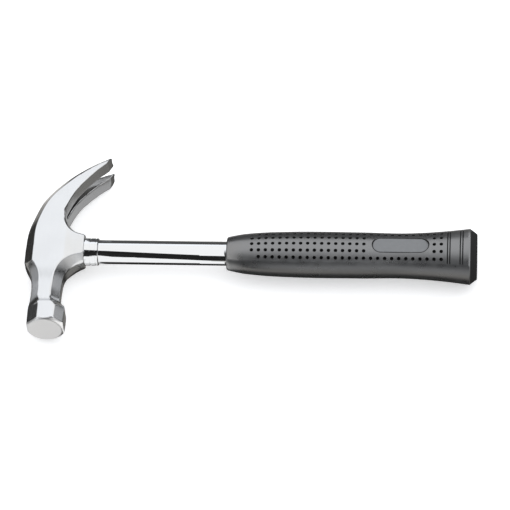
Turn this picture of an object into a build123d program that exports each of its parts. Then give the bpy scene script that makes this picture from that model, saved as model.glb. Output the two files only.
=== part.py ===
from build123d import *

import math
import os

os.makedirs("parts", exist_ok=True)

# ---------------------------------------------------------------------------------------------
# Claw hammer with a tubular steel handle, lying on its side on the plane z = 0.
# +X runs along the handle from the head to the butt, +Y from the striking face to the claws.
# Every piece is drawn in "tool" coordinates: x from the crown, y and z from the handle's axis.
# ---------------------------------------------------------------------------------------------

# overall sizes, mm
overall_length = 320.0
face_y = -67.4            # striking face, below the handle's axis
claw_tip_y = 72.6         # far corner of the claws
tool_x = -overall_length / 2
tool_y = -(face_y + claw_tip_y) / 2

# head
cheek_half = 13.6         # half the thickness across the cheeks
neck_half = 10.0          # half the thickness of the neck
neck_left = 7.2
neck_right = 28.0
neck_top_y = -36.0
neck_end_y = -42.5
neck_left_low = 6.4       # half height of the neck's flat side, left and right
neck_right_low = 4.0
neck_corners = (
    (neck_left, neck_left_low), (13.2, neck_half), (21.4, neck_half), (neck_right, neck_right_low),
)
neck_shoulder_y = -17.0   # where the cheeks start to draw in towards the neck
socket_shoulder_x = 28.0  # where the cheeks start to draw in towards the socket
poll_top_y = -51.5
poll_left = 6.0
poll_right = 31.8
poll_half = 13.4
poll_corners = ((poll_left, 5.2), (14.2, poll_half), (25.2, poll_half), (poll_right, 6.8))
poll_x = (poll_left + poll_right) / 2
flare_steps = 4
face_radius = 12.1        # flat of the striking face, inside its round chamfer
claw_half = 16.3          # half the spread of the two claws at their tips
crown_flat_half = 4.5
socket_end_x = 42.0
socket_radius = 11.0

throat_y = 22.0           # between the socket and the claws
claw_root_x = 27.0
claw_spread_x = 62.0
above_claws_y = 80.0
face_chamfer_reach = 6.0

# the cuts that shape the head run well clear of it
cut_length = 60.0
cut_top = 20.0
cut_left = -5.0
cut_right = 70.0
socket_cut_right = 45.0
tip_cut = 40.0

# nail slot
slot_tip_half = 4.7
slot_root_half = 1.8
slot_angle = 36.0         # direction of the slot's length, up from the handle
slot_start = 40.6         # along that direction, from the tool's origin
slot_end = 96.0
slot_outside = 52.0       # how far the slot's cut starts and ends either side of the tool's origin
slot_inside = 8.0
slot_edge_radius = 0.4
slot_edge_points = (      # a point on each edge that is rounded: crown, underside and both ends
    (35.9, 56.2, 3.1), (38.7, 46.1, 2.9), (38.3, 45.6, 14.3), (15.7, 40.1, 1.3), (26.6, 25.3, 1.4),
)

# handle
tube_radius = 8.6
tube_wall = 1.6
tube_bore = tube_radius - tube_wall
eye_x = 9.0               # bottom of the blind eye
tube_end_x = 296.0
collar_radius = 9.7
collar_length = 10.0
collar_groove_x = (4.2, 8.0)
collar_groove_width = 0.8
collar_groove_depth = 0.35
collar_chamfer = 0.6
plug_length = 24.0
plug_taper_length = 6.0
plug_taper = 1.6
core_length = 92.0
core_chamfer = 0.8
end_plug_length = 16.0
end_plug_rim = 2.0
end_plug_chamfer = 1.2

# grip: half width (Y) and half thickness (Z) at stations along the handle
grip_start_x = 143.0
grip_flat = 0.82          # thickness over width
butt_chamfer_x = 315.4
butt_half_width = 21.0
butt_end_half_width = 16.9
grip_half_widths = {
    grip_start_x: 12.4,
    152.7: 14.5,
    166.9: 16.1,
    189.0: 17.1,
    237.0: 17.3,
    270.6: 17.0,
    299.7: 19.1,
    butt_chamfer_x: butt_half_width,
}
tool_z = butt_half_width * grip_flat

badge_x = 266.2
badge_length = 39.4
badge_width = 11.4
badge_floor = 11.6        # height of the recess's floor above the handle's axis
badge_thickness = 1.4
badge_edge = 0.25
badge_cut = 10.0
grip_front_radius = 1.2

side = Plane(origin=(tool_x, tool_y, tool_z))
handle_axis = Axis((tool_x, tool_y, tool_z), (1, 0, 0))


def across_handle(x):
    """Section plane across the handle at x: its own x is the tool's +Y, its y the tool's +Z."""
    return Plane(origin=(tool_x + x, tool_y, tool_z), x_dir=(0, 1, 0), z_dir=(1, 0, 0))


def across_poll(y):
    """Section plane across the poll at y: its own x is the tool's +X, its y the tool's +Z."""
    return Plane(origin=(tool_x, tool_y + y, tool_z), x_dir=(1, 0, 0), z_dir=(0, -1, 0))


tool_origin = Vector(tool_x, tool_y, tool_z)

# plane of the slot's plan, outside the crown: its x is the slot's length, its y the tool's +Z
slot_along = Vector(math.cos(math.radians(slot_angle)), math.sin(math.radians(slot_angle)), 0)
slot_inward = Vector(slot_along.Y, -slot_along.X, 0)
slot_plane = Plane(
    origin=tool_origin - slot_inward * slot_outside, x_dir=slot_along, z_dir=slot_inward
)

# end plane of a claw, through the edge beside the slot and the edge on the cheek
tip_inner = Vector(57.5, 72.6, slot_tip_half)
tip_outer = Vector(55.9, 70.7, claw_half)
tip_thickness = Vector(3.05, 5.5, 0)
tip_plane = Plane(
    origin=tool_origin + tip_inner,
    x_dir=tip_thickness,
    z_dir=tip_thickness.cross(tip_outer - tip_inner),
)


def eased(value, start, end):
    """0 at start, 1 at end, level at both."""
    t = min(1.0, max(0.0, (value - start) / (end - start)))
    return t * t * (3 - 2 * t)


def cheek_height(x, y):
    """Half thickness of the head: full at the eye, less at the neck and socket, more at the claws."""
    neck = (cheek_half - neck_half) * eased(y, neck_shoulder_y, neck_top_y)
    if y > throat_y:
        return cheek_half + (claw_half - cheek_half) * eased(x, claw_root_x, claw_spread_x)
    return cheek_half - neck - (cheek_half - socket_radius) * eased(x, socket_shoulder_x, socket_end_x)


def bevel_cutter(stations):
    """Lofts the waste outside a bevel. A station is the bevel's edge on the side of the head, its
    edge on the cheek, and the height of the first of them above the middle plane."""
    overrun = 1.6
    with BuildPart() as cutter:
        for (x0, y0), (x1, y1), low in stations:
            leg = math.hypot(x1 - x0, y1 - y0)
            slope = (cheek_height(x1, y1) - low) / leg
            bottom = low - overrun * slope
            top = low + (leg + overrun) * slope
            inward = (x1 - x0, y1 - y0, 0)
            along = (y1 - y0, x0 - x1, 0)
            origin = (tool_x + x0, tool_y + y0, tool_z)
            with BuildSketch(Plane(origin=origin, x_dir=inward, z_dir=along)):
                with BuildLine():
                    Polyline((-overrun, bottom), (leg + overrun, top), (-overrun, top), close=True)
                make_face()
        loft()
    return cutter.part


def half_octagon(share):
    """Upper half of the poll's eight-sided section: share 0 is the neck's, 1 is the poll's."""
    corners = [
        (near + (far - near) * share, low + (high - low) * share)
        for (near, low), (far, high) in zip(neck_corners, poll_corners)
    ]
    return [(corners[0][0], 0), *corners, (corners[-1][0], 0)]


# ---------------------------------------------------------------------------------------------
# head: forged steel, poll below, socket towards the handle, two claws above.
# One cheek's half is cut to shape, with a bevel along each side, and mirrored.
# ---------------------------------------------------------------------------------------------
crown_bevel = bevel_cutter(
    [
        ((0, -40), (6.7, -40), crown_flat_half),
        ((0, -13), (6.7, -13), crown_flat_half),
        ((0, -2), (6.6, -2), crown_flat_half),
        ((0.9, 12), (7.0, 10.6), crown_flat_half),
        ((3.9, 24), (9.4, 21.9), crown_flat_half),
        ((8.4, 35.2), (13.3, 32.0), 5.5),
        ((15.5, 44.6), (18.9, 41.4), 8.0),
        ((26.5, 54.6), (28.5, 52.0), 10.8),
        ((43.0, 65.9), (44.2, 64.0), 13.0),
        ((57.5, 72.6), (58.2, 71.0), 14.8),
        ((66.0, 76.2), (66.7, 74.6), 14.8),
    ]
)
neck_scallop = bevel_cutter(
    [
        ((-2.2, -8.5), (2.9, -15.6), 5.0),
        ((0, -13), (4.9, -19.6), 5.0),
        ((1.7, -16.8), (6.6, -22.6), 5.4),
        ((4.3, -21.8), (9.2, -26.2), 6.0),
        ((6.2, -27.5), (11.9, -30.4), neck_left_low),
        ((neck_left, neck_top_y), (13.2, neck_top_y), neck_left_low),
        ((neck_left, neck_end_y - 2), (13.2, neck_end_y - 2), neck_left_low),
    ]
)
socket_under_bevel = bevel_cutter(
    [
        ((neck_right, neck_end_y - 2), (21.4, neck_end_y - 2), neck_right_low),
        ((neck_right, neck_top_y), (21.4, neck_top_y), neck_right_low),
        ((28.3, -30.0), (21.9, -29.6), neck_right_low),
        ((29.7, -23.8), (24.1, -22.4), neck_right_low),
        ((32.6, -18.3), (28.2, -16.4), neck_right_low),
        ((37.2, -13.6), (34.6, -10.9), neck_right_low),
        ((socket_end_x, -11), (41.4, -7.5), neck_right_low),
        ((46.0, -10.7), (46.0, -7.2), neck_right_low),
    ]
)
socket_top_bevel = bevel_cutter(
    [
        ((46.0, 10.8), (46.0, 7.2), 4.0),
        ((socket_end_x, 11), (41.6, 7.4), 4.0),
        ((38.0, 11.2), (36.9, 8.2), 5.5),
        ((34.0, 12.4), (32.2, 10.2), 8.0),
        ((31.0, 14.8), (29.2, 13.4), 10.2),
        ((28.4, 18.2), (27.0, 17.6), 12.0),
        ((26.7, 22.0), (25.9, 21.9), 12.9),
    ]
)

with BuildPart() as head:
    # outline between the crown and the underside, from the neck to the claw tips
    with BuildSketch(side):
        with BuildLine():
            Line((neck_right, neck_top_y), (neck_left, neck_top_y))
            Spline((neck_left, neck_top_y), (5.2, -24.2), (0, -13), tangents=((0, 1), (-0.46, 0.89)))
            Line((0, -13), (0, -2))
            Spline(
                (0, -2), (3.9, 24), (11.1, 39.8), (26.5, 54.6), (43, 65.9), (60, 73.9),
                tangents=((0, 1), (0.91, 0.41)),
            )
            Line((60, 73.9), (58, 70.2))
            Spline(
                (58, 70.2), (47, 60.7), (33.5, 44.2), (26.2, 27.8), (28.4, 18.2), (34, 12.4),
                (socket_end_x, socket_radius),
                tangents=((-0.76, -0.65), (1, -0.05)),
            )
            Line((socket_end_x, socket_radius), (socket_end_x, -socket_radius))
            Spline(
                (socket_end_x, -socket_radius), (37.2, -13.6), (32.5, -18.5), (29.1, -25.5),
                (neck_right, neck_top_y),
                tangents=((-1, -0.3), (0, -1)),
            )
        make_face()
    extrude(amount=claw_half + 1)
    # the cheek, seen across the handle: draws in at the neck
    with BuildSketch(across_handle(0)):
        with BuildLine():
            Spline(
                [
                    (y, cheek_height(0, y))
                    for y in (neck_shoulder_y, -21.75, -26.5, -31.25, neck_top_y)
                ],
                tangents=((-1, 0), (-1, 0)),
            )
            Polyline(
                (neck_top_y, neck_half), (neck_top_y, cut_top), (throat_y, cut_top),
                (throat_y, cheek_half), (neck_shoulder_y, cheek_half),
            )
        make_face()
    extrude(amount=cut_length, mode=Mode.SUBTRACT)
    # the cheek, seen along the poll: draws in at the socket
    with BuildSketch(across_poll(throat_y)):
        with BuildLine():
            Spline(
                [
                    (x, cheek_height(x, 0))
                    for x in (socket_shoulder_x, 31.5, 35.0, 38.5, socket_end_x)
                ],
                tangents=((1, 0), (1, 0)),
            )
            Polyline(
                (socket_end_x, socket_radius), (socket_cut_right, socket_radius),
                (socket_cut_right, cut_top), (socket_shoulder_x, cut_top),
                (socket_shoulder_x, cheek_half),
            )
        make_face()
    extrude(amount=cut_length, mode=Mode.SUBTRACT)
    # the cheek of the claws spreads towards the tips
    with BuildSketch(across_poll(above_claws_y)):
        with BuildLine():
            Spline(
                [
                    (x, cheek_height(x, above_claws_y))
                    for x in (claw_root_x, 36, 44.5, 53, claw_spread_x)
                ],
                tangents=((1, 0), (1, 0)),
            )
            Polyline(
                (claw_spread_x, claw_half), (cut_right, claw_half), (cut_right, cut_top),
                (cut_left, cut_top), (cut_left, cheek_half), (claw_root_x, cheek_half),
            )
        make_face()
    extrude(amount=above_claws_y - throat_y, mode=Mode.SUBTRACT)
    for cutter in (crown_bevel, neck_scallop, socket_under_bevel, socket_top_bevel):
        add(cutter, mode=Mode.SUBTRACT)
    # neck of one section, then the flare and the poll
    with BuildSketch(across_poll(neck_top_y)):
        Polygon(*half_octagon(0), align=None)
    extrude(amount=neck_top_y - neck_end_y)
    for step in range(flare_steps + 1):
        reach = step / flare_steps
        with BuildSketch(across_poll(neck_end_y + (poll_top_y - neck_end_y) * reach)):
            Polygon(*half_octagon(reach**2), align=None)
    loft()
    with BuildSketch(across_poll(poll_top_y)):
        Polygon(*half_octagon(1), align=None)
    extrude(amount=poll_top_y - face_y)
    # conical chamfer round the striking face
    with BuildSketch(side):
        with BuildLine():
            Polyline(
                (poll_x + face_radius, face_y),
                (poll_x + face_radius + face_chamfer_reach, face_y + face_chamfer_reach),
                (poll_x + face_radius + face_chamfer_reach, face_y),
                close=True,
            )
        make_face()
    revolve(axis=Axis((tool_x + poll_x, tool_y, tool_z), (0, 1, 0)), mode=Mode.SUBTRACT)
    # the claw's end, cut oblique so that it is longest beside the slot
    with BuildSketch(tip_plane):
        Rectangle(tip_cut, tip_cut)
    extrude(amount=tip_cut, mode=Mode.SUBTRACT)
    # half of the nail slot: it runs through the claws across their length
    with BuildSketch(slot_plane):
        with BuildLine():
            Polyline(
                (slot_start, 0), (slot_end, 0), (slot_end, slot_tip_half), (slot_start, slot_root_half),
                close=True,
            )
        make_face()
        with Locations((slot_start, 0)):
            Circle(slot_root_half)
    extrude(amount=slot_outside + slot_inside, mode=Mode.SUBTRACT)
    slot_edges = [
        head.edges().sort_by_distance(tool_origin + Vector(point))[0] for point in slot_edge_points
    ]
    fillet(slot_edges, radius=slot_edge_radius)
    # blind eye for the tube
    with BuildSketch(across_handle(eye_x)):
        Circle(tube_radius)
    extrude(amount=socket_end_x, mode=Mode.SUBTRACT)
    mirror(about=side)

head.part.label = "head"
export_step(head.part, "parts/head.step")

# ---------------------------------------------------------------------------------------------
# handle: steel tube with its plugs, core and collar
# ---------------------------------------------------------------------------------------------
with BuildPart() as shaft_tube:
    with BuildSketch(across_handle(eye_x)):
        Circle(tube_radius)
        Circle(tube_bore, mode=Mode.SUBTRACT)
    extrude(amount=tube_end_x - eye_x)

shaft_tube.part.label = "shaft_tube"
export_step(shaft_tube.part, "parts/shaft_tube.step")

# tapered steel plug that holds the tube in the eye
with BuildPart() as expander_plug:
    with BuildSketch(across_handle(eye_x)):
        Circle(tube_bore)
    extrude(amount=plug_length)
    chamfer(expander_plug.edges().sort_by(Axis.X)[-1], length=plug_taper_length, length2=plug_taper)

expander_plug.part.label = "expander_plug"
export_step(expander_plug.part, "parts/expander_plug.step")

# hardwood dowel that stiffens the neck of the tube and damps its ring
with BuildPart() as damping_core:
    with BuildSketch(across_handle(eye_x + plug_length)):
        Circle(tube_bore)
    extrude(amount=core_length)
    chamfer(damping_core.edges().filter_by(GeomType.CIRCLE), length=core_chamfer)

damping_core.part.label = "damping_core"
export_step(damping_core.part, "parts/damping_core.step")

# moulded plug in the butt end of the tube, with a rim that covers the tube's edge
with BuildPart() as tube_end_plug:
    with BuildSketch(across_handle(tube_end_x - end_plug_length)):
        Circle(tube_bore)
    extrude(amount=end_plug_length)
    with BuildSketch(across_handle(tube_end_x)):
        Circle(tube_radius)
    extrude(amount=end_plug_rim)
    inner_edge = tube_end_plug.edges().filter_by(GeomType.CIRCLE).sort_by(Axis.X)[0]
    chamfer(inner_edge, length=end_plug_chamfer)

tube_end_plug.part.label = "tube_end_plug"
export_step(tube_end_plug.part, "parts/tube_end_plug.step")

# pressed steel collar against the socket, with two turned grooves
with BuildPart() as ferrule:
    with BuildSketch(side):
        with BuildLine():
            Polyline(
                (socket_end_x, tube_radius),
                (socket_end_x, collar_radius),
                (socket_end_x + collar_length, collar_radius),
                (socket_end_x + collar_length, tube_radius),
                close=True,
            )
        make_face()
        with Locations(*[(socket_end_x + x, collar_radius) for x in collar_groove_x]):
            Rectangle(collar_groove_width, 2 * collar_groove_depth, mode=Mode.SUBTRACT)
    revolve(axis=handle_axis)
    rims = ferrule.edges().filter_by(GeomType.CIRCLE).group_by(SortBy.RADIUS)[-1]
    chamfer(rims.sort_by(Axis.X)[-1], length=collar_chamfer)

ferrule.part.label = "ferrule"
export_step(ferrule.part, "parts/ferrule.step")

# ---------------------------------------------------------------------------------------------
# grip: moulded rubber sleeve, oval in section, flared and chamfered at the butt
# ---------------------------------------------------------------------------------------------
with BuildPart() as grip:
    for x, half_width in grip_half_widths.items():
        with BuildSketch(across_handle(x)):
            Ellipse(half_width, half_width * grip_flat)
    loft()
    with BuildSketch(across_handle(butt_chamfer_x)):
        Ellipse(butt_half_width, butt_half_width * grip_flat)
    with BuildSketch(across_handle(overall_length)):
        Ellipse(butt_end_half_width, butt_end_half_width * grip_flat)
    loft(ruled=True)
    fillet(grip.edges().sort_by(Axis.X)[0], radius=grip_front_radius)
    with BuildSketch(across_handle(grip_start_x)):
        Circle(tube_radius)
    extrude(amount=tube_end_x + end_plug_rim - grip_start_x, mode=Mode.SUBTRACT)
    # a recess in each cheek for its badge
    with BuildSketch(side.offset(badge_floor)):
        with Locations((badge_x, 0)):
            SlotOverall(badge_length, badge_width)
    recess = extrude(amount=badge_cut, mode=Mode.SUBTRACT)
    mirror(recess, about=side, mode=Mode.SUBTRACT)

grip.part.label = "grip"
export_step(grip.part, "parts/grip.step")

# blank inlay plates, one in each cheek of the grip
with BuildPart() as badge_front:
    with BuildSketch(side.offset(badge_floor)):
        with Locations((badge_x, 0)):
            SlotOverall(badge_length, badge_width)
    extrude(amount=badge_thickness)
    chamfer(badge_front.edges().group_by(Axis.Z)[-1], length=badge_edge)

badge_front.part.label = "badge_front"
export_step(badge_front.part, "parts/badge_front.step")

with BuildPart() as badge_back:
    mirror(badge_front.part, about=side)

badge_back.part.label = "badge_back"
export_step(badge_back.part, "parts/badge_back.step")
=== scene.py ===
import math

import bmesh
import bpy
import numpy as np
from mathutils import Matrix, Vector

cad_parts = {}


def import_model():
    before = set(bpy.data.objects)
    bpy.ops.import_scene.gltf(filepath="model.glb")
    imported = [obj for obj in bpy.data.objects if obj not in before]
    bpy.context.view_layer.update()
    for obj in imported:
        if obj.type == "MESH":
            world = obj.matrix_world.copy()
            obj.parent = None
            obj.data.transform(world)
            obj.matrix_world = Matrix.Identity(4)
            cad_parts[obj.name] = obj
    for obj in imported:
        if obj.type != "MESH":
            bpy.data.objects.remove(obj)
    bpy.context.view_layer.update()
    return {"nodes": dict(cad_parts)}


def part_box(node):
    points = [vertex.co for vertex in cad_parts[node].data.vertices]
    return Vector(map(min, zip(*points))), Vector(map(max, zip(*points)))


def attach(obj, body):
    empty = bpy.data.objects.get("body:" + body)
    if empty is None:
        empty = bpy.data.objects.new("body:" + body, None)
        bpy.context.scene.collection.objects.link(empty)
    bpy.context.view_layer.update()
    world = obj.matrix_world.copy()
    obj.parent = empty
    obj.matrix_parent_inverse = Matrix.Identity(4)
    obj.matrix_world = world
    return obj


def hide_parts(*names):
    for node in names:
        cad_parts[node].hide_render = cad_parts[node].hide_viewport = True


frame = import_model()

MM = 0.001
TINY = 1e-6               # slack where a place is compared with a limit

# The tool's own axes, in mm: x from the crown along the handle, y from the handle's axis towards
# the claws, z from the handle's axis towards the upper cheek.
tube_low, tube_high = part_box("shaft_tube")
head_low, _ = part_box("head")
ferrule_low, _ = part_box("ferrule")
_, grip_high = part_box("grip")
TOOL = Vector((head_low.x, (tube_low.y + tube_high.y) / 2, (tube_low.z + tube_high.z) / 2))
TUBE_RADIUS = (tube_high.z - tube_low.z) / 2 / MM


def tool(x, y, z):
    """A point given in tool millimetres, in the row frame."""
    return TOOL + Vector((x, y, z)) * MM


def link(name, data):
    """A new object in the scene."""
    obj = bpy.data.objects.new(name, data)
    bpy.context.scene.collection.objects.link(obj)
    return obj


def mesh_object(name, points, faces, sharp_angle=math.radians(38)):
    """A smooth-shaded object from points in tool millimetres."""
    mesh = bpy.data.meshes.new(name)
    placed = np.asarray(points, float) * MM + np.array(TOOL)
    mesh.from_pydata(placed.tolist(), [], faces)
    shell = bmesh.new()
    shell.from_mesh(mesh)
    bmesh.ops.recalc_face_normals(shell, faces=shell.faces)
    shell.to_mesh(mesh)
    shell.free()
    mesh.polygons.foreach_set("use_smooth", [True] * len(mesh.polygons))
    mesh.set_sharp_from_angle(angle=sharp_angle)
    return link(name, mesh)


def eased(value, start, end):
    """0 at start, 1 at end, level at both."""
    t = np.clip((value - start) / (end - start), 0, 1)
    return t * t * (3 - 2 * t)


def hermite(t, span, a, b, slope_a, slope_b):
    """A smooth step from a to b as t goes from 0 to 1 over span, with the given slopes."""
    return (
        (2 * t**3 - 3 * t**2 + 1) * a + (t**3 - 2 * t**2 + t) * span * slope_a
        + (3 * t**2 - 2 * t**3) * b + (t**3 - t**2) * span * slope_b
    )


# ------------------------------------------------------------------------------ head
HEAD_STEP = 0.55          # spacing of the head's sampling grid
EDGE_RADIUS = 0.45        # the forging's edges are broken by polishing
TIP_RADIUS = 0.15         # the claws' ends and the slot are left sharper
RUN_STEPS = 14            # samples between two points of the outline

# half thicknesses of the head, and where one runs into the next
CHEEK_HALF = 13.6
NECK_HALF = 10.0
POLL_HALF = 13.4
SOCKET_HALF = 11.0
CLAW_HALF = 16.3
NECK_FADE = (-17, -36)    # y
SOCKET_FADE_X = 28
SOCKET_FADE_Y = (-45, -40)
CLAW_FADE = (27, 62)      # x
CLAWS_ABOVE_Y = 22

FACE_Y = (head_low.y - TOOL.y) / MM
POLL_X = 18.9
FACE_RADIUS = 12.1
POLL_TOP_Y = -51.5
NECK_END_Y = -42.5
SOCKET_END_X = (ferrule_low.x - TOOL.x) / MM
EYE_X = (tube_low.x - TOOL.x) / MM

# nail slot: its direction in plan, where it starts along that direction, and its half width
SLOT_ANGLE = math.radians(36)
SLOT_START = 40.6
SLOT_ROOT_HALF = 1.8
SLOT_TAPER = 2.9 / 55.4
SLOT_MARGIN = 0.4 * MM    # metres past its walls, about where the painted shade on the slot's walls ends
# oblique end of the upper claw: its middle at the slot and at the cheek, and a vector across it
TIP_INNER = np.array((57.5, 72.6, 4.7))
TIP_OUTER = np.array((55.9, 70.7, CLAW_HALF))
TIP_THICKNESS = np.array((3.05, 5.5, 0))
TIPS_ABOVE_Y = 50
FAR_INSIDE = -99          # a distance so deep in the steel that it never counts
FIELD_MARGIN = 1.6        # how far the sampling grid goes past the head
CLAWS_END = (60.5, 76)    # x and y where the grid ends, just past the claws

# The head's outline in runs. A bevelled run's points are (x, y, bevel width, height of the bevel's
# lower edge); each bevel is worked out on its own, past the ends of its run, and the lowest counts.
FLARE = [
    (y, ((NECK_END_Y - y) / (NECK_END_Y - POLL_TOP_Y)) ** 2)
    for y in np.linspace(POLL_TOP_Y, NECK_END_Y, 7)
]
LEFT = (
    [(6.0, FACE_Y, 8.2, 5.2)]
    + [(7.2 - 1.2 * k, y, 6.0 + 2.2 * k, 6.4 - 1.2 * k) for y, k in FLARE]
    + [(7.2, -36, 6.0, 6.4), (6.2, -27.5, 6.0, 6.4), (4.3, -21.8, 5.2, 6.0), (1.7, -16.8, 4.0, 5.4),
       (0, -13, 3.0, 5.0)]
)
CROWN_FLAT = [(0, -13, 6.7, 4.5), (0, -2, 6.7, 4.5)]
CROWN = [
    (0, -2, 6.7, 4.5), (0.9, 12, 6.3, 4.5), (3.9, 24, 5.9, 4.5), (11.1, 39.8, 5.3, 6.6),
    (26.5, 54.6, 3.3, 10.8), (43, 65.9, 2.3, 13.0), (60, 73.9, 1.7, 14.8),
]
TIP = [(60, 73.9), (58, 70.2)]
UNDERSIDE = [(58, 70.2), (47, 60.7), (33.5, 44.2), (26.2, 27.8)]
SOCKET_TOP = [
    (26.2, 27.8, 0.6, 14), (28.4, 18.2, 1.5, 12.0), (34, 12.4, 2.8, 8.0), (SOCKET_END_X, 11, 3.6, 4.0),
]
SOCKET_END = [(SOCKET_END_X, 11), (SOCKET_END_X, -11)]
RIGHT = (
    [(SOCKET_END_X, -11, 3.6, 4.0), (37.2, -13.6, 3.8, 4.0), (32.5, -18.5, 4.8, 4.0),
     (29.1, -25.5, 5.8, 4.0), (28, -36, 6.6, 4.0)]
    + [(28 + 3.8 * k, y, 6.6, 4.0 + 2.8 * k) for y, k in reversed(FLARE)]
    + [(31.8, FACE_Y, 6.6, 6.8)]
)
FACE = [(31.8, FACE_Y), (6.0, FACE_Y)]
OUTLINE = (LEFT, CROWN_FLAT, CROWN, TIP, UNDERSIDE, SOCKET_TOP, SOCKET_END, RIGHT, FACE)
# the runs with a bevel, and whether the bevel goes on past the run's start and end
BEVELS = ((LEFT, True, True), (CROWN_FLAT, True, False), (CROWN, False, True),
          (SOCKET_TOP, False, True), (RIGHT, True, True))


def through(points):
    """Samples of a smooth curve through points."""
    p = np.asarray(points, float)
    if len(p) == 2:
        return p
    gaps = np.sqrt(np.linalg.norm(np.diff(p[:, :2], axis=0), axis=1))
    knots = np.concatenate(([0], np.cumsum(gaps)))
    slopes = np.gradient(p, knots, axis=0)
    t = np.linspace(0, 1, RUN_STEPS, endpoint=False)[:, None]
    out = [
        hermite(t, knots[i + 1] - knots[i], p[i], p[i + 1], slopes[i], slopes[i + 1])
        for i in range(len(p) - 1)
    ]
    return np.vstack(out + [p[-1:]])


def rounded_max(a, b, radius):
    """Where two solids given by signed distance meet, with the edge rounded."""
    corner = np.hypot(np.maximum(a + radius, 0), np.maximum(b + radius, 0))
    return np.minimum(-radius, np.maximum(a, b)) + corner


def nearest(curve, x, y, before=False, after=False):
    """Distance to a curve, below 0 on its left hand, and the curve's other values at the nearest
    point. Its first and last segments go on without end where before or after is true."""
    near = np.full(x.shape, 1e9)
    others = np.zeros((curve.shape[1] - 2, *x.shape))
    for i in range(len(curve) - 1):
        (ax, ay), (bx, by) = curve[i, :2], curve[i + 1, :2]
        t = ((x - ax) * (bx - ax) + (y - ay) * (by - ay)) / ((bx - ax) ** 2 + (by - ay) ** 2)
        first = -np.inf if before and i == 0 else 0
        last = np.inf if after and i == len(curve) - 2 else 1
        t = np.clip(t, first, last)
        distance = np.hypot(x - ax - t * (bx - ax), y - ay - t * (by - ay))
        past_end = ((t == 0) & (i == 0)) | ((t == 1) & (i == len(curve) - 2))
        right = past_end | ((y - ay) * (bx - ax) < (x - ax) * (by - ay))
        closer = distance < np.abs(near)
        near = np.where(closer, np.where(right, distance, -distance), near)
        t = np.clip(t, 0, 1)
        for other, a, b in zip(others, curve[i, 2:], curve[i + 1, 2:]):
            other[closer] = (a + (b - a) * t)[closer]
    return near, others


def inside_outline(x, y):
    """True where a point is inside the closed outline."""
    inside = np.zeros(x.shape, bool)
    for run in OUTLINE:
        curve = through(run)
        for (ax, ay), (bx, by) in zip(curve[:-1, :2], curve[1:, :2]):
            if ay != by:
                inside ^= ((ay > y) != (by > y)) & (x < ax + (y - ay) / (by - ay) * (bx - ax))
    return inside


def cheek_height(x, y):
    """Half thickness of the head without its bevels."""
    neck = CHEEK_HALF - (CHEEK_HALF - NECK_HALF) * eased(y, *NECK_FADE)
    toward_poll = np.clip((NECK_END_Y - y) / (NECK_END_Y - POLL_TOP_Y), 0, 1)
    flare = (POLL_HALF - NECK_HALF) * toward_poll**2
    at_socket = eased(x, SOCKET_FADE_X, SOCKET_END_X) * eased(y, *SOCKET_FADE_Y)
    socket = (CHEEK_HALF - SOCKET_HALF) * at_socket
    claws = CHEEK_HALF + (CLAW_HALF - CHEEK_HALF) * eased(x, *CLAW_FADE)
    return np.where(y > CLAWS_ABOVE_Y, claws, neck + flare - socket)


def bevelled_block(x, y, height):
    """The outline raised to the cheeks, with each bevel planed off."""
    distances = [nearest(through(run)[:, :2], x, y)[0] for run in OUTLINE]
    outline = np.min(np.abs(distances), axis=0)
    outline[inside_outline(x, y)] *= -1
    cheek = cheek_height(x, y)
    field = rounded_max(outline[:, :, None], height - cheek[:, :, None], EDGE_RADIUS)
    for run, before, after in BEVELS:
        depth, (width, low) = nearest(through(run), x, y, before, after)
        slope = np.maximum(cheek - low, 0) / width
        top = low + slope * depth
        sloped = (height - top[:, :, None]) / np.sqrt(1 + slope**2)[:, :, None]
        field = rounded_max(field, sloped, EDGE_RADIUS)
    return field


def face_chamfer(x, y, z):
    """Conical chamfer round the striking face."""
    return (np.hypot(x - POLL_X, z) - FACE_RADIUS - (y - FACE_Y)) / math.sqrt(2)


def claw_ends(x, y, height):
    """The oblique end of each claw."""
    outward = np.cross(TIP_THICKNESS, TIP_OUTER - TIP_INNER)
    outward /= np.linalg.norm(outward)
    tip = (x - TIP_INNER[0]) * outward[0] + (y - TIP_INNER[1]) * outward[1]
    tip = tip + (height - TIP_INNER[2]) * outward[2]
    return np.where(y > TIPS_ABOVE_Y, tip, FAR_INSIDE)


def nail_slot(x, y, z, height):
    """The tapered slot between the claws, with its round root."""
    along = x * math.cos(SLOT_ANGLE) + y * math.sin(SLOT_ANGLE) - SLOT_START
    walls = SLOT_ROOT_HALF + SLOT_TAPER * along - height
    root = SLOT_ROOT_HALF - np.hypot(along, z)
    return np.where(along > 0, walls, root)


def head_field(x, y, z):
    """Signed distance, near enough, to the head's surface: negative in the steel."""
    height = np.abs(z)
    field = bevelled_block(x[:, :, 0], y[:, :, 0], height)
    field = rounded_max(field, face_chamfer(x, y, z), EDGE_RADIUS)
    field = rounded_max(field, claw_ends(x, y, height), TIP_RADIUS)
    field = rounded_max(field, nail_slot(x, y, z, height), TIP_RADIUS)
    eye = np.minimum(x - EYE_X, TUBE_RADIUS - np.hypot(y, z))
    return np.maximum(field, eye)


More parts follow.
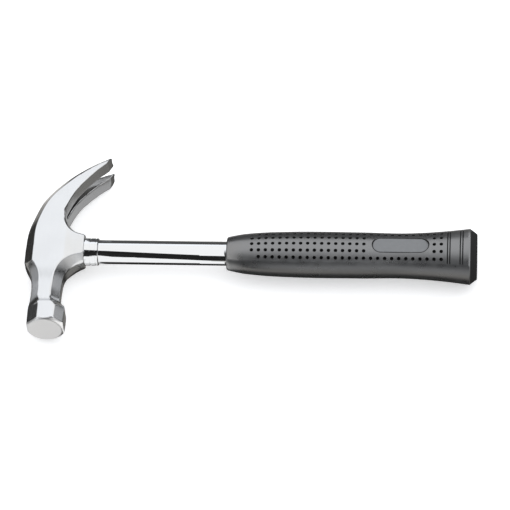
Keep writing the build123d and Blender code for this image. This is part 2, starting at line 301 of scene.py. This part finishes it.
def cell_points(field, inside):
    """The cells that the surface passes through, by index and as a numbered grid, and for each the
    mean of the places where the surface crosses the cell's edges, in steps of the grid."""
    cells = np.array(field.shape) - 1
    corners = [(i, j, k) for i in (0, 1) for j in (0, 1) for k in (0, 1)]
    count = sum(
        inside[i:i + cells[0], j:j + cells[1], k:k + cells[2]].astype(np.int8) for i, j, k in corners
    )
    active = (count > 0) & (count < len(corners))
    where = np.argwhere(active)
    index = np.full(active.shape, -1)
    index[active] = np.arange(len(where))
    total = np.zeros((len(where), 3))
    hits = np.zeros(len(where))
    for axis in range(3):
        for corner in (c for c in corners if not c[axis]):
            far = np.array(corner)
            far[axis] = 1
            a = field[tuple((where + corner).T)]
            b = field[tuple((where + far).T)]
            crossed = (a < 0) != (b < 0)
            t = np.where(crossed, a / np.where(crossed, a - b, 1), 0)
            point = where + corner + t[:, None] * (far - corner)
            total[crossed] += point[crossed]
            hits += crossed
    return index, total / hits[:, None]


def edge_quads(inside, index):
    """A quad round each grid edge that the surface crosses, through the four cells at that edge."""
    quads = []
    for axis in range(3):
        u, v = [n for n in range(3) if n != axis]
        low = [slice(1, -1)] * 3
        low[axis] = slice(0, -1)
        high = list(low)
        high[axis] = slice(1, None)
        edges = np.argwhere(inside[tuple(low)] != inside[tuple(high)])
        edges += [0 if n == axis else 1 for n in range(3)]
        ring = []
        for du, dv in ((1, 1), (0, 1), (0, 0), (1, 0)):
            cell = edges.copy()
            cell[:, u] -= du
            cell[:, v] -= dv
            ring.append(index[tuple(cell.T)])
        quads.append(np.stack(ring, 1))
    return np.vstack(quads).tolist()


def build_head():
    """The forging, as the surface where its field is zero."""
    low = np.array((-FIELD_MARGIN, FACE_Y - FIELD_MARGIN, -CLAW_HALF - FIELD_MARGIN))
    high = np.array((*CLAWS_END, CLAW_HALF + FIELD_MARGIN))
    axes = [np.arange(a, b, HEAD_STEP) for a, b in zip(low, high)]
    field = head_field(*np.meshgrid(*axes, indexing="ij"))
    inside = field < 0
    index, points = cell_points(field, inside)
    quads = edge_quads(inside, index)
    return mesh_object("forged_head", low + HEAD_STEP * points, quads, math.radians(60))


# ------------------------------------------------------------------------------ grip
GRIP_FLAT = 0.82          # thickness over width of the oval section
GRIP_STATIONS = (
    (143.0, 12.4), (152.7, 14.5), (166.9, 16.1), (189.0, 17.1), (237.0, 17.3), (270.6, 17.0),
    (299.7, 19.1), (314.8, 21.0),
)
BUTT_X = (grip_high.x - TOOL.x) / MM
BUTT_HALF = 16.9
FRONT_RADIUS = 1.2
BORE_END_X = 298.0

DIMPLE_PITCH = 4.95
DIMPLE_COLUMNS = 28
DIMPLE_FIRST_X = 161.2
DIMPLE_RADIUS = 1.3
DIMPLE_DEPTH = 2.6
# a dimple's rings from its border inward: share of its radius, share of its depth
DIMPLE_RINGS = ((1.2, 0), (1.0, 0), (0.95, 0.06), (0.9, 0.4), (0.55, 0.75), (0.2, 0.95))
ROW_ANGLE = 18.3          # degrees between the rows
ROWS = 5
SPLIT = 4                 # grid cells along each side of a dimple's tile
PANEL_DEPTH = 0.07
PANEL_FADE = (146, 158)   # x where the panel starts to sink and is fully sunk
PANEL_HALF_ANGLE = ROW_ANGLE * ROWS / 2
BORDER_ANGLE = 1.4
SIDE_CELLS = 14
PANEL_LINES = ROWS * SPLIT + 1 + SIDE_CELLS + 1      # lines in half a turn round the grip
FRONT_LINES = 10          # lines along the grip before the dimples
PLAIN_LINES = (303.3, 305.6, 312.0, 313.5)           # lines between and after the grooves
GROOVES = (299.3, 301.0, 308.2, 310.0)
GROOVE_HALF = 0.42
GROOVE_DEPTH = 0.7

badge_low, badge_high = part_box("badge_front")
BADGE_X = ((badge_low.x + badge_high.x) / 2 - TOOL.x) / MM
BADGE_HALF_LENGTH = (badge_high.x - badge_low.x) / 2 / MM
BADGE_HALF_WIDTH = (badge_high.y - badge_low.y) / 2 / MM
BADGE_FLOOR = (badge_low.z - TOOL.z) / MM
BADGE_FIRST, BADGE_LAST = 17, 25      # columns of tiles that the badge takes up
# a badge recess's rings from outside inward: growth past the badge, and depth, or None at its floor
BADGE_RINGS = ((1.0, 0.0), (0.65, 0.0), (0.5, 0.25), (0.0, 0.5), (0.0, None), (-2.0, None))

BUTT_EDGE = 0.35
# the butt's rings: x, share of the section, painted shade
BUTT_RINGS = (
    (GRIP_STATIONS[-1][0] + BUTT_EDGE, 1.0, 0.0), (GRIP_STATIONS[-1][0] + 2 * BUTT_EDGE, 1.0, 1.0),
    (BUTT_X - BUTT_EDGE, 1.0, 1.0), (BUTT_X, 0.985, 1.0), (BUTT_X, 0.5, 0.0),
)


def half_width(x):
    """The grip's half width at x, smooth through its stations, then the butt's chamfer."""
    if x >= GRIP_STATIONS[-1][0]:
        start_x, start = GRIP_STATIONS[-1]
        return start + (BUTT_HALF - start) * (x - start_x) / (BUTT_X - start_x)
    xs, widths = np.array(GRIP_STATIONS).T
    slopes = np.gradient(widths, xs)
    i = int(np.clip(np.searchsorted(xs, x) - 1, 0, len(xs) - 2))
    span = xs[i + 1] - xs[i]
    return hermite((x - xs[i]) / span, span, widths[i], widths[i + 1], slopes[i], slopes[i + 1])


def grip_point(x, angle, depth=0.0):
    """A point on the oval at x, sunk by depth along the oval's normal. Angle in degrees from +Y."""
    wide = half_width(x)
    c, s = math.cos(math.radians(angle)), math.sin(math.radians(angle))
    ny, nz = c * GRIP_FLAT, s
    size = math.hypot(ny, nz)
    return (x, wide * c - depth * ny / size, wide * GRIP_FLAT * s - depth * nz / size)


def skin_depth(x, angle):
    """How far the skin is sunk: a little on the two dimpled panels, more in their grooves."""
    from_middle = min(abs(angle % 360 - 90), abs(angle % 360 - 270))
    if from_middle > PANEL_HALF_ANGLE + TINY:
        return 0.0
    depth = PANEL_DEPTH * float(eased(x, *PANEL_FADE))
    for groove in GROOVES:
        if abs(x - groove) <= GROOVE_HALF / 2 + TINY:
            depth += GROOVE_DEPTH
    return depth


def grip_lines():
    """Grid lines along the grip: the dimples' tiles, a few lines before them, the grooves after."""
    first = DIMPLE_FIRST_X - DIMPLE_PITCH / 2
    start = GRIP_STATIONS[0][0] + FRONT_RADIUS
    before = np.linspace(start, first, FRONT_LINES, endpoint=False)
    tiles = first + DIMPLE_PITCH / SPLIT * np.arange(DIMPLE_COLUMNS * SPLIT + 1)
    after = [*PLAIN_LINES, GRIP_STATIONS[-1][0]]
    for groove in GROOVES:
        after += [groove + GROOVE_HALF * share for share in (-1, -0.5, 0.5, 1)]
    return np.concatenate((before, tiles, np.sort(after)))


def grip_angles():
    """Grid lines round the grip: the rows of each panel, then a border and an edge between panels."""
    angles = []
    for middle in (90, 270):
        rows = middle - PANEL_HALF_ANGLE + ROW_ANGLE / SPLIT * np.arange(ROWS * SPLIT + 1)
        edge_start = middle + PANEL_HALF_ANGLE + BORDER_ANGLE
        edge_end = middle + 180 - PANEL_HALF_ANGLE - BORDER_ANGLE
        angles += [*rows, *np.linspace(edge_start, edge_end, SIDE_CELLS + 1)]
    return np.array(angles)


def dimple_tiles():
    """Grid places where a dimple's tile starts. The first column has no outer rows, and the badge
    takes the place of the inner ones."""
    tiles = []
    for panel in (0, PANEL_LINES):
        for column in range(DIMPLE_COLUMNS):
            for row in range(ROWS):
                outer = row in (0, ROWS - 1)
                badge = BADGE_FIRST <= column <= BADGE_LAST and not outer
                if not badge and not (outer and column == 0):
                    tiles.append((FRONT_LINES + column * SPLIT, panel + row * SPLIT))
    return tiles


def badge_blocks():
    """Grid lines round each badge's block of cells, and 1 for the upper badge, -1 for the lower."""
    start, end = (FRONT_LINES + column * SPLIT for column in (BADGE_FIRST, BADGE_LAST + 1))
    return [
        (start, end, panel + SPLIT, panel + (ROWS - 1) * SPLIT, up)
        for panel, up in ((0, 1), (PANEL_LINES, -1))
    ]


def border(i0, i1, j0, j1):
    """Grid places round a block of cells, in order."""
    return (
        [(i, j0) for i in range(i0, i1)] + [(i1, j) for j in range(j0, j1)]
        + [(i, j1) for i in range(i1, i0, -1)] + [(i0, j) for j in range(j1, j0, -1)]
    )


def slot_reach(cx, cy, half_length, radius):
    """How far a round-ended slot's edge is from its middle, in the direction cx, cy."""
    straight = half_length - radius
    if cy == 0:
        return half_length / abs(cx)
    side = radius / abs(cy)
    if side * abs(cx) <= straight:
        return side
    along = straight * abs(cx)
    return along + math.sqrt(max(along**2 - straight**2 + radius**2, 0))


class Grip:
    """The sleeve's points and faces: a grid over the oval, with blocks left out for the dimples and
    the badges and filled with rings. Painted shade is 1 down in a hollow and round the butt's chamfer,
    and 0 in the open."""

    def __init__(self):
        self.points = []
        self.faces = []
        self.painted_shade = []
        self.grid = {}
        self.xs = grip_lines()
        self.angles = grip_angles()
        self.skin()
        for i, j in dimple_tiles():
            self.dimple(i, j)
        for block in badge_blocks():
            self.badge_recess(*block)
        self.front()
        self.butt()

    def add(self, point, painted_shade=0.0):
        """Adds a point and gives its number."""
        self.points.append(point)
        self.painted_shade.append(painted_shade)
        return len(self.points) - 1

    def band(self, outer, inner):
        """Quads between two closed rings of the same number of points."""
        n = len(outer)
        for i in range(n):
            j = (i + 1) % n
            self.faces.append((outer[i], outer[j], inner[j], inner[i]))

    def nested(self, ring, rings, centre, painted_shade=0.0):
        """Bands from a ring through the rings after it, then triangles to the centre."""
        for inner in rings:
            self.band(ring, inner)
            ring = inner
        hub = self.add(centre, painted_shade)
        for i in range(len(ring)):
            self.faces.append((ring[i], ring[(i + 1) % len(ring)], hub))

    def vertex(self, i, j):
        """The grid's point on line i along and line j round, made when it is first asked for."""
        j %= len(self.angles)
        if (i, j) not in self.grid:
            x, angle = float(self.xs[i]), float(self.angles[j])
            depth = skin_depth(x, angle)
            # groove bottoms get painted shade
            self.grid[i, j] = self.add(grip_point(x, angle, depth), float(depth > GROOVE_DEPTH))
        return self.grid[i, j]

    def skin(self):
        """The grid's cells, but for the dimples' tiles and the badges' blocks."""
        holes = set()
        for i0, j0 in dimple_tiles():
            holes.update((i0 + a, j0 + b) for a in range(SPLIT) for b in range(SPLIT))
        for i0, i1, j0, j1, _ in badge_blocks():
            holes.update((i, j) for i in range(i0, i1) for j in range(j0, j1))
        for i in range(len(self.xs) - 1):
            for j in range(len(self.angles)):
                if (i, j) not in holes:
                    corners = ((i, j), (i, j + 1), (i + 1, j + 1), (i + 1, j))
                    self.faces.append(tuple(self.vertex(*corner) for corner in corners))

    def dimple(self, i0, j0):
        """From a tile's square border to a round hole with a pointed floor."""
        places = border(i0, i0 + SPLIT, j0, j0 + SPLIT)
        x0 = float(self.xs[i0] + self.xs[i0 + SPLIT]) / 2
        a0 = float(self.angles[j0] + self.angles[j0 + SPLIT]) / 2
        turn = math.radians(a0)
        degree = math.radians(1) * half_width(x0) * math.hypot(
            math.sin(turn), GRIP_FLAT * math.cos(turn)
        )
        turns = [math.atan2((self.angles[j] - a0) * degree, self.xs[i] - x0) for i, j in places]
        flat = skin_depth(x0, a0)
        rings = []
        for share, sunk in DIMPLE_RINGS:
            radius = DIMPLE_RADIUS * share
            depth = flat + DIMPLE_DEPTH * sunk
            # a dimple's sunk rings and its floor get painted shade
            rings.append([
                self.add(
                    grip_point(x0 + radius * math.cos(t), a0 + radius * math.sin(t) / degree, depth),
                    float(sunk > 0),
                )
                for t in turns
            ])
        outer = [self.vertex(i, j) for i, j in places]
        self.nested(outer, rings, grip_point(x0, a0, flat + DIMPLE_DEPTH), 1.0)

    def badge_recess(self, i0, i1, j0, j1, up):
        """From a block's border to the slot-shaped recess that the badge sits in."""
        places = border(i0, i1, j0, j1)
        directions = []
        for i, j in places:
            dx = self.xs[i] - BADGE_X
            dy = half_width(float(self.xs[i])) * math.cos(math.radians(self.angles[j]))
            directions.append((dx / math.hypot(dx, dy), dy / math.hypot(dx, dy)))
        rings = []
        for grow, sunk in BADGE_RINGS:
            ring = []
            for cx, cy in directions:
                reach = slot_reach(cx, cy, BADGE_HALF_LENGTH + grow, BADGE_HALF_WIDTH + grow)
                x, y = BADGE_X + reach * cx, reach * cy
                point = (x, y, up * BADGE_FLOOR)
                if sunk is not None:
                    angle = math.degrees(math.acos(y / half_width(x))) * up
                    point = grip_point(x, angle, PANEL_DEPTH + sunk)
                # the badge recess's sunk rings and floor get painted shade
                ring.append(self.add(point, float(sunk != 0)))
            rings.append(ring)
        outer = [self.vertex(i, j) for i, j in places]
        self.nested(outer, rings, (BADGE_X, 0, up * BADGE_FLOOR), 1.0)

    def front(self):
        """Rounded edge, flat ring and the blind bore for the tube."""
        front_x = GRIP_STATIONS[0][0]
        rings = []
        for turn in (math.radians(t) for t in (30, 60, 90)):
            sunk = FRONT_RADIUS * (1 - math.cos(turn))
            x = front_x + FRONT_RADIUS * (1 - math.sin(turn))
            rings.append([self.add(grip_point(x, float(a), sunk)) for a in self.angles])
        for x in (front_x, BORE_END_X):
            turns = np.radians(self.angles)
            rings.append([
                self.add((x, TUBE_RADIUS * math.cos(t), TUBE_RADIUS * math.sin(t))) for t in turns
            ])
        outer = [self.vertex(0, j) for j in range(len(self.angles))]
        self.nested(outer, rings, (BORE_END_X, 0, 0))

    def butt(self):
        """Chamfer and flat end, with painted shade on the chamfer and the end's rim."""
        rings = []
        for x, share, painted_shade in BUTT_RINGS:
            section = [grip_point(x, float(a)) for a in self.angles]
            rings.append([self.add((x, y * share, z * share), painted_shade) for _, y, z in section])
        outer = [self.vertex(len(self.xs) - 1, j) for j in range(len(self.angles))]
        self.nested(outer, rings, (BUTT_X, 0, 0))


def build_grip():
    """The sleeve, with its painted shade as a value on each point."""
    shell = Grip()
    sleeve = mesh_object("grip_sleeve", shell.points, shell.faces)
    # painted shade, kept as a value on each point for the rubber
    painted_shade = sleeve.data.attributes.new("painted_shade", "FLOAT", "POINT")
    painted_shade.data.foreach_set("value", shell.painted_shade)
    return sleeve


# ------------------------------------------------------------------------------ materials
# the mix node repeats its socket names for each kind of value, so its colour sockets go by number
COLOUR_MIX_INPUTS = (0, 6, 7)
COLOUR_MIX_OUTPUT = 2
# mm from the striking face, where its ground finish starts and where it is full
GROUND_START = 2.4
GROUND_FULL = 1.8


class Nodes:
    """Small helper that adds and links shader nodes to one node tree."""

    def __init__(self, tree):
        self.tree = tree

    def put(self, socket, value):
        """Links an output to the socket, or sets the socket to a plain value."""
        if hasattr(value, "is_output"):
            self.tree.links.new(value, socket)
        else:
            socket.default_value = value

    def math(self, operation, *values):
        """The result of one operation on the values."""
        node = self.tree.nodes.new("ShaderNodeMath")
        node.operation = operation
        for socket, value in zip(node.inputs, values):
            self.put(socket, value)
        return node.outputs[0]

    def times(self, *values):
        """The product of two or more values."""
        product = values[0]
        for value in values[1:]:
            product = self.math("MULTIPLY", product, value)
        return product

    def remap(self, value, start, end, low=0.0, high=1.0, smooth=True):
        """Takes start..end to low..high, held level outside."""
        node = self.tree.nodes.new("ShaderNodeMapRange")
        node.interpolation_type = "SMOOTHSTEP" if smooth else "LINEAR"
        for socket, number in zip(node.inputs, (value, start, end, low, high)):
            self.put(socket, number)
        return node.outputs[0]

    def position(self):
        """The shaded point's place on the object, in metres, as one vector and as x, y, z."""
        place = self.tree.nodes.new("ShaderNodeTexCoord").outputs["Object"]
        split = self.tree.nodes.new("ShaderNodeSeparateXYZ")
        self.put(split.inputs[0], place)
        return place, split.outputs

    def noise(self, vector, scale, detail=3.0, stretch=None):
        """Noise from 0 to 1; scale in lumps per metre; stretch shrinks each axis's scale."""
        if stretch:
            mapping = self.tree.nodes.new("ShaderNodeMapping")
            self.put(mapping.inputs["Vector"], vector)
            mapping.inputs["Scale"].default_value = stretch
            vector = mapping.outputs[0]
        node = self.tree.nodes.new("ShaderNodeTexNoise")
        self.put(node.inputs["Vector"], vector)
        node.inputs["Scale"].default_value = scale
        node.inputs["Detail"].default_value = detail
        return node.outputs["Fac"]

    def mix(self, share, first, second):
        """A colour between two colours."""
        node = self.tree.nodes.new("ShaderNodeMix")
        node.data_type = "RGBA"
        for socket, value in zip(COLOUR_MIX_INPUTS, (share, first, second)):
            self.put(node.inputs[socket], value)
        return node.outputs[COLOUR_MIX_OUTPUT]

    def bump(self, height, depth):
        """A normal from a height of 0 to 1 over depth metres."""
        node = self.tree.nodes.new("ShaderNodeBump")
        node.inputs["Distance"].default_value = depth
        self.put(node.inputs["Height"], height)
        return node.outputs["Normal"]


def new_material(name):
    """A material, the helper for its nodes and its shader's sockets."""
    mat = bpy.data.materials.new(name)
    mat.use_nodes = True
    return mat, Nodes(mat.node_tree), mat.node_tree.nodes["Principled BSDF"].inputs


def grey(value, warm=0.0):
    """A near-neutral colour; warm above 0 leans to brown, below 0 to blue."""
    return (value * (1 + warm), value, value * (1 - warm), 1)


def slot_shade(n, xyz):
    """Painted shade: 1 on the walls of the nail slot, which get a darker grey, 0 on the rest of the
    head.
    """
    cos, sin = math.cos(SLOT_ANGLE), math.sin(SLOT_ANGLE)
    start = TOOL.x * cos + TOOL.y * sin + SLOT_START * MM
    across = n.math("MULTIPLY", xyz["X"], cos)
    along = n.math("SUBTRACT", n.math("MULTIPLY_ADD", xyz["Y"], sin, across), start)
    half_gap = n.math("MULTIPLY_ADD", along, SLOT_TAPER, SLOT_ROOT_HALF * MM + SLOT_MARGIN)
    middle = n.math("ABSOLUTE", n.math("SUBTRACT", xyz["Z"], TOOL.z))
    inner = n.math("SUBTRACT", half_gap, middle)
    return n.times(n.remap(inner, -SLOT_MARGIN / 2, SLOT_MARGIN / 4), n.remap(along, -2 * MM, 0.0))


def forged_steel():
    """Polished forging: bright cheeks, a ground striking face, faint grinding lines, and painted shade
    as a darker grey on the nail slot's walls.
    """
    mat, n, shader = new_material("forged_steel")
    place, xyz = n.position()
    shader["Metallic"].default_value = 1
    polished = n.mix(n.noise(place, 55), grey(0.59, -0.012), grey(0.66, -0.012))
    # painted shade: the nail slot's walls get a darker grey
    colour = n.mix(slot_shade(n, xyz), polished, grey(0.38))
    start, full = tool(0, FACE_Y + GROUND_START, 0).y, tool(0, FACE_Y + GROUND_FULL, 0).y
    ground = n.remap(xyz["Y"], start, full)
    n.put(shader["Base Color"], n.mix(ground, colour, grey(0.76)))
    lines = n.remap(n.noise(place, 900, 2, (1, 0.06, 1)), 0.3, 0.7, 0.16, 0.23)
    satin = n.remap(n.noise(place, 2600, 1), 0.3, 0.7, 0.34, 0.44)
    rough = n.math("ADD", n.times(lines, n.math("SUBTRACT", 1.0, ground)), n.times(satin, ground))
    n.put(shader["Roughness"], rough)
    n.put(shader["Normal"], n.bump(n.noise(place, 260, 2), 0.000012))
    return mat


def chrome(name, rough):
    """Bright plating over drawn tube, with faint lines along it."""
    mat, n, shader = new_material(name)
    place, _ = n.position()
    shader["Metallic"].default_value = 1
    n.put(shader["Base Color"], n.mix(n.noise(place, 40), grey(0.68, -0.02), grey(0.72, -0.02)))
    lines = n.noise(place, 700, 2, (0.05, 1, 1))
    n.put(shader["Roughness"], n.remap(lines, 0.3, 0.7, rough, rough + 0.03))
    return mat


def rubber():
    """Black moulded rubber with a fine grain, with painted shade down in its hollows and on the butt's
    chamfer: darker, rougher and less shiny there.
    """
    mat, n, shader = new_material("grip_rubber")
    place, _ = n.position()
    attribute = mat.node_tree.nodes.new("ShaderNodeAttribute")
    attribute.attribute_name = "painted_shade"
    painted_shade = attribute.outputs["Fac"]
    cloud = n.noise(place, 120)
    skin = n.mix(cloud, grey(0.013, -0.06), grey(0.018, -0.06))
    # painted shade in the hollows and on the butt's chamfer: a darker colour, more roughness and less
    # shine
    n.put(shader["Base Color"], n.mix(painted_shade, skin, grey(0.012)))
    rough = n.remap(cloud, 0.35, 0.65, 0.27, 0.32)
    n.put(shader["Roughness"], n.math("MULTIPLY_ADD", painted_shade, 0.4, rough))
    n.put(shader["Specular IOR Level"], n.remap(painted_shade, 0.0, 1.0, 0.5, 0.05, smooth=False))
    shader["IOR"].default_value = 2.6
    n.put(shader["Normal"], n.bump(n.noise(place, 3200, 1), 0.000005))
    return mat


def badge_plate():
    """Satin grey plate, blank."""
    mat, n, shader = new_material("badge_plate")
    place, _ = n.position()
    n.put(shader["Base Color"], n.mix(n.noise(place, 300), grey(0.17, -0.03), grey(0.21, -0.03)))
    n.put(shader["Roughness"], n.remap(n.noise(place, 1500, 1), 0.3, 0.7, 0.30, 0.40))
    return mat


def plain_steel():
    """Bare turned steel."""
    mat, n, shader = new_material("plain_steel")
    place, _ = n.position()
    shader["Metallic"].default_value = 1
    n.put(shader["Base Color"], n.mix(n.noise(place, 200), grey(0.42), grey(0.52)))
    lines = n.noise(place, 1200, 2, (1, 0.1, 0.1))
    n.put(shader["Roughness"], n.remap(lines, 0.3, 0.7, 0.25, 0.45))
    return mat


def hardwood():
    """Pale turned wood, its grain along the handle."""
    mat, n, shader = new_material("hardwood")
    place, _ = n.position()
    grain = n.noise(place, 420, 4, (0.08, 1, 1))
    n.put(shader["Base Color"], n.mix(grain, (0.36, 0.20, 0.09, 1), (0.55, 0.35, 0.17, 1)))
    n.put(shader["Roughness"], n.remap(grain, 0.3, 0.7, 0.5, 0.65))
    n.put(shader["Normal"], n.bump(grain, 0.0001))
    return mat


def moulded_plug():
    """Dark moulded plastic."""
    mat, n, shader = new_material("moulded_plug")
    place, _ = n.position()
    cloud = n.noise(place, 250)
    n.put(shader["Base Color"], n.mix(cloud, grey(0.035), grey(0.055)))
    n.put(shader["Roughness"], n.remap(cloud, 0.3, 0.7, 0.45, 0.6))
    n.put(shader["Normal"], n.bump(n.noise(place, 2500, 1), 0.00003))
    return mat


def assign(node, mat):
    """Gives a CAD node its material."""
    for slot in frame["nodes"][node].material_slots:
        slot.material = mat


plate = badge_plate()
assign("shaft_tube", chrome("chromed_tube", 0.03))
assign("ferrule", chrome("chromed_collar", 0.05))
assign("expander_plug", plain_steel())
assign("damping_core", hardwood())
assign("tube_end_plug", moulded_plug())
assign("badge_front", plate)
assign("badge_back", plate)

head = build_head()
head.data.materials.append(forged_steel())
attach(head, "root")
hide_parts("head")

grip = build_grip()
grip.data.materials.append(rubber())
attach(grip, "root")
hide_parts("grip")


# ------------------------------------------------------------------------------ stage
CEILING_LEVEL = 1.38
CEILING_FRONT_LEVEL = 0.03
FRONT_LEVEL = 0.68
BACK_LEVEL = 0.28
DARK_LEVEL = 0.04
COOL = (0.962, 0.975, 1, 1)
WARM = (1, 0.97, 0.92, 1)
# small lamps: direction, cosines of the outer and inner edge, level
LAMPS = (
    ((-0.77, 0.57, 0.30), 0.93, 0.975, 0.42),
    ((-0.93, 0.18, 0.12), 0.93, 0.98, 0.42),
    ((-0.85, 0.20, -0.48), 0.95, 0.985, 0.42),
    ((0.56, -0.06, -0.82), 0.90, 0.99, 0.24),
    ((-0.22, 0.80, -0.55), 0.945, 0.99, 0.75),
    ((0.85, 0.45, 0.08), 0.88, 0.95, 0.46),
    ((0.80, -0.60, 0.0), 0.80, 0.97, 0.70),
)


def ceiling(n, x, y, z):
    """Comes down less far at the two ends of the hammer, and fades toward the front."""
    height = n.math("MULTIPLY_ADD", n.math("MULTIPLY", x, x), -0.55, z)
    fade = n.times(n.remap(y, 0.2, -0.66), n.remap(x, 0.15, 0.05), n.remap(x, -0.5, -0.4))
    level = n.remap(fade, 0, 1, CEILING_LEVEL, CEILING_FRONT_LEVEL, smooth=False)
    return n.times(n.remap(height, -0.08, 0.15), level)


def front_wall(n, x, y, z):
    """Grey, brightest from the horizon to well below it, and absent on the right."""
    tall = n.times(n.remap(z, 0.55, 0.08), n.remap(z, -0.85, -0.4))
    return n.times(tall, n.remap(y, -0.05, -0.2), n.remap(x, 0.15, 0.0), FRONT_LEVEL)


def back_wall(n, x, y):
    """Grey, behind the middle of the hammer."""
    return n.times(n.remap(y, 0.35, 0.6), n.remap(n.math("ABSOLUTE", x), 0.4, 0.25), BACK_LEVEL)


def lamp(n, direction, aim, outer, inner, level):
    """A soft round spot of light."""
    dot = n.tree.nodes.new("ShaderNodeVectorMath")
    dot.operation = "DOT_PRODUCT"
    n.put(dot.inputs[0], direction)
    dot.inputs[1].default_value = Vector(aim).normalized()
    return n.remap(dot.outputs["Value"], outer, inner, 0.0, level)


def world():
    """A pale studio: bright above and in front, dark low down at the back and on the right."""
    studio = bpy.data.worlds.new("studio")
    bpy.context.scene.world = studio
    studio.use_nodes = True
    n = Nodes(studio.node_tree)
    direction = studio.node_tree.nodes.new("ShaderNodeTexCoord").outputs["Generated"]
    split = studio.node_tree.nodes.new("ShaderNodeSeparateXYZ")
    n.put(split.inputs[0], direction)
    x, y, z = split.outputs
    levels = [ceiling(n, x, y, z), front_wall(n, x, y, z), back_wall(n, x, y)]
    levels += [lamp(n, direction, *settings) for settings in LAMPS]
    brightest = DARK_LEVEL
    for level in levels:
        brightest = n.math("MAXIMUM", level, brightest)
    background = studio.node_tree.nodes["Background"].inputs
    n.put(background["Color"], n.mix(n.remap(z, 0.1, -0.4), COOL, WARM))
    n.put(background["Strength"], brightest)


def reflected(name, points, strength):
    """A glowing flat sheet that is seen only in reflections."""
    mesh = bpy.data.meshes.new(name)
    mesh.from_pydata(points, [], [tuple(range(len(points)))])
    sheet = link(name, mesh)
    mat, n, shader = new_material(name)
    place, _ = n.position()
    shader["Base Color"].default_value = (0, 0, 0, 1)
    shader["Specular IOR Level"].default_value = 0
    tint = n.mix(n.noise(place, 5), (1, 0.98, 0.96, 1), (0.98, 0.99, 1, 1))
    n.put(shader["Emission Color"], tint)
    shader["Emission Strength"].default_value = strength
    mesh.materials.append(mat)
    sheet.visible_camera = False
    sheet.visible_diffuse = False
    sheet.visible_transmission = False
    sheet.visible_shadow = False


def card(name, elevation, distance, edge, strength):
    """A flat card that faces the handle's axis. Elevation in degrees up from the front; its edge
    is in mm along the handle and up the card."""
    turn = math.radians(elevation)
    side = Vector((0, -math.cos(turn), math.sin(turn)))
    rise = Vector((0, math.sin(turn), math.cos(turn)))
    reflected(name, [tool(x, *(side * distance + rise * t)[1:]) for x, t in edge], strength)


def tube_cards():
    """White cards above and below the front of the tube, with a gap between them that runs as a
    black line along the tube. The end cards are nearer, so that the grip doesn't mirror them."""
    white = 1.3
    above, below, near = 65, -35, 62
    mid, end = 53, 128
    upper = [(28, 110), (end, 110), (end, -34), (mid, 0), (28, 8)]
    lower = [(36, 107), (mid, 65), (end, 21), (end, -14), (36, -14)]
    card("upper_card", above, near, upper, white)
    card("lower_card", below, near, lower, white)
    end_near = 30
    start, last = 122, 140
    upper_end = [(start, 53), (last, 53), (last, -18), (start, -17)]
    lower_end = [(start, 12), (last, 9), (last, -7), (start, -7)]
    card("upper_end_card", above, end_near, upper_end, white)
    card("lower_end_card", below, end_near, lower_end, white)
    card("ferrule_card", 5, 190, [(9, 130), (60, 130), (60, -250), (9, -250)], white)


def other_cards():
    """Strips that darken the gap between the tube's cards and the far edge of the handle, and a
    card for the striking face."""
    gap = [(-12, 104), (41, 56), (132, -40), (132, -356), (41, -110), (-12, -20)]
    card("black_strip", 45, 150, gap, 0.02)
    card("back_strip", 180, 150, [(26, 40), (298, 40), (298, -100), (26, -100)], 0.1)
    card("face_card", -50, 150, [(-260, 200), (36, 200), (36, -120), (-260, -120)], 0.88)


def claw_sheet():
    """The paper beside the lower claw, which its underside mirrors."""
    gap, width, level = 1, 10, 0.5
    low = -17.0           # just above the floor
    near = [(x + gap, y) for x, y in UNDERSIDE]
    far = [(x + gap + width, y) for x, y in reversed(UNDERSIDE)]
    reflected("claw_sheet", [tool(x, y, low) for x, y in near + far], level)


def floor():
    """A wide sheet of white paper that the steel does not mirror."""
    half = 8.0
    mesh = bpy.data.meshes.new("floor")
    corners = [(-half, -half, 0), (half, -half, 0), (half, half, 0), (-half, half, 0)]
    mesh.from_pydata(corners, [], [(0, 1, 2, 3)])
    sheet = link("floor", mesh)
    mat, n, shader = new_material("paper")
    place, _ = n.position()
    n.put(shader["Base Color"], n.mix(n.noise(place, 3), grey(0.90), grey(0.91)))
    shader["Roughness"].default_value = 0.9
    shader["Specular IOR Level"].default_value = 0
    shader["Emission Color"].default_value = (1, 1, 1, 1)
    shader["Emission Strength"].default_value = 0.42
    mesh.materials.append(mat)
    sheet.visible_glossy = False


world()
tube_cards()
other_cards()
claw_sheet()
floor()


# ------------------------------------------------------------------------------ camera
def camera():
    """A long lens, above the front of the hammer and turned a little to its right."""
    aim = tool(162.96, -0.85, 0)
    distance = 2606 * MM
    elevation = math.radians(54.78)
    azimuth = math.radians(7.0)
    roll = math.radians(-4.97)
    level = math.cos(elevation)
    back = Vector((math.sin(azimuth) * level, -math.cos(azimuth) * level, math.sin(elevation)))
    data = bpy.data.cameras.new("camera")
    data.sensor_width = 36
    data.lens = 259.86
    data.clip_end = 100
    obj = link("camera", data)
    look = (-back).to_track_quat("-Z", "Y").to_matrix().to_4x4()
    obj.matrix_world = Matrix.Translation(aim + back * distance) @ look @ Matrix.Rotation(roll, 4, "Z")
    bpy.context.scene.camera = obj


camera()
bpy.context.scene.view_settings.view_transform = "Standard"
